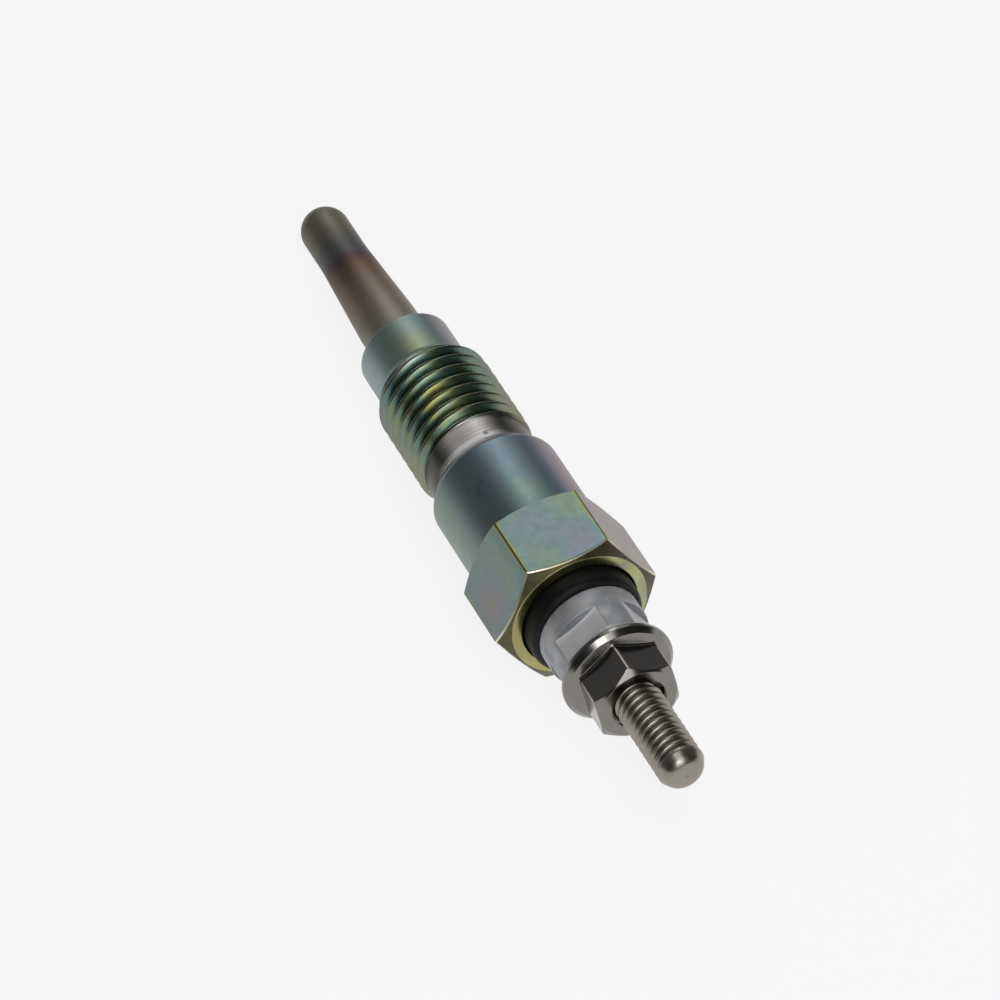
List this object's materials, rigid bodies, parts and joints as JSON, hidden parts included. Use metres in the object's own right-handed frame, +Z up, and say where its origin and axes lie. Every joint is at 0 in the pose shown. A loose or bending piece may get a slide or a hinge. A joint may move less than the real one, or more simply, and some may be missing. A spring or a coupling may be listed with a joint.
{
  "type": "diesel glow plug",
  "caption": "Diesel glow plug: sheathed heater tip in a threaded steel housing with a hexagon, black insulating bush, crimped pinch nut and threaded terminal stud with a flange nut.",
  "frame": {"origin": "on the table that the plug lies on, below the middle of its length", "axes": "+X along the plug towards the terminal stud, level; +Z up; the plug's own axis rises 2.9 degrees towards the terminal, as it comes to rest on a flat of the hexagon and the first thread crest"},
  "size_m": [0.072, 0.0138, 0.0123],
  "materials": {
    "housing_plating": "zinc plated with an iridescent yellow-green chromate film",
    "heat_tinted_sheath": "satin alloy tube with heat tint, dark at the tip and bronze behind",
    "heating_wire": "drawn wire",
    "control_wire": "drawn nickel wire",
    "packed_oxide": "matt packed magnesium oxide",
    "seal_rubber": "matt moulded rubber",
    "rod_steel": "bright plated steel with a rolled thread",
    "ring_rubber": "smooth moulded rubber",
    "black_bush": "semi-gloss black moulded resin",
    "pinch_aluminium": "satin, with bright crimped edges",
    "nut_plating": "bright nickel plating"
  },
  "bodies": {
    "root": {"body": "housing_plating", "heater_sheath": "heat_tinted_sheath", "heating_coil": "heating_wire", "control_coil": "control_wire", "insulating_powder": "packed_oxide", "sheath_seal": "seal_rubber", "centre_rod": "rod_steel", "o_ring": "ring_rubber", "insulating_bush": "black_bush", "pinch_nut": "pinch_aluminium", "terminal_nut": "nut_plating"}
  },
  "joints": []
}
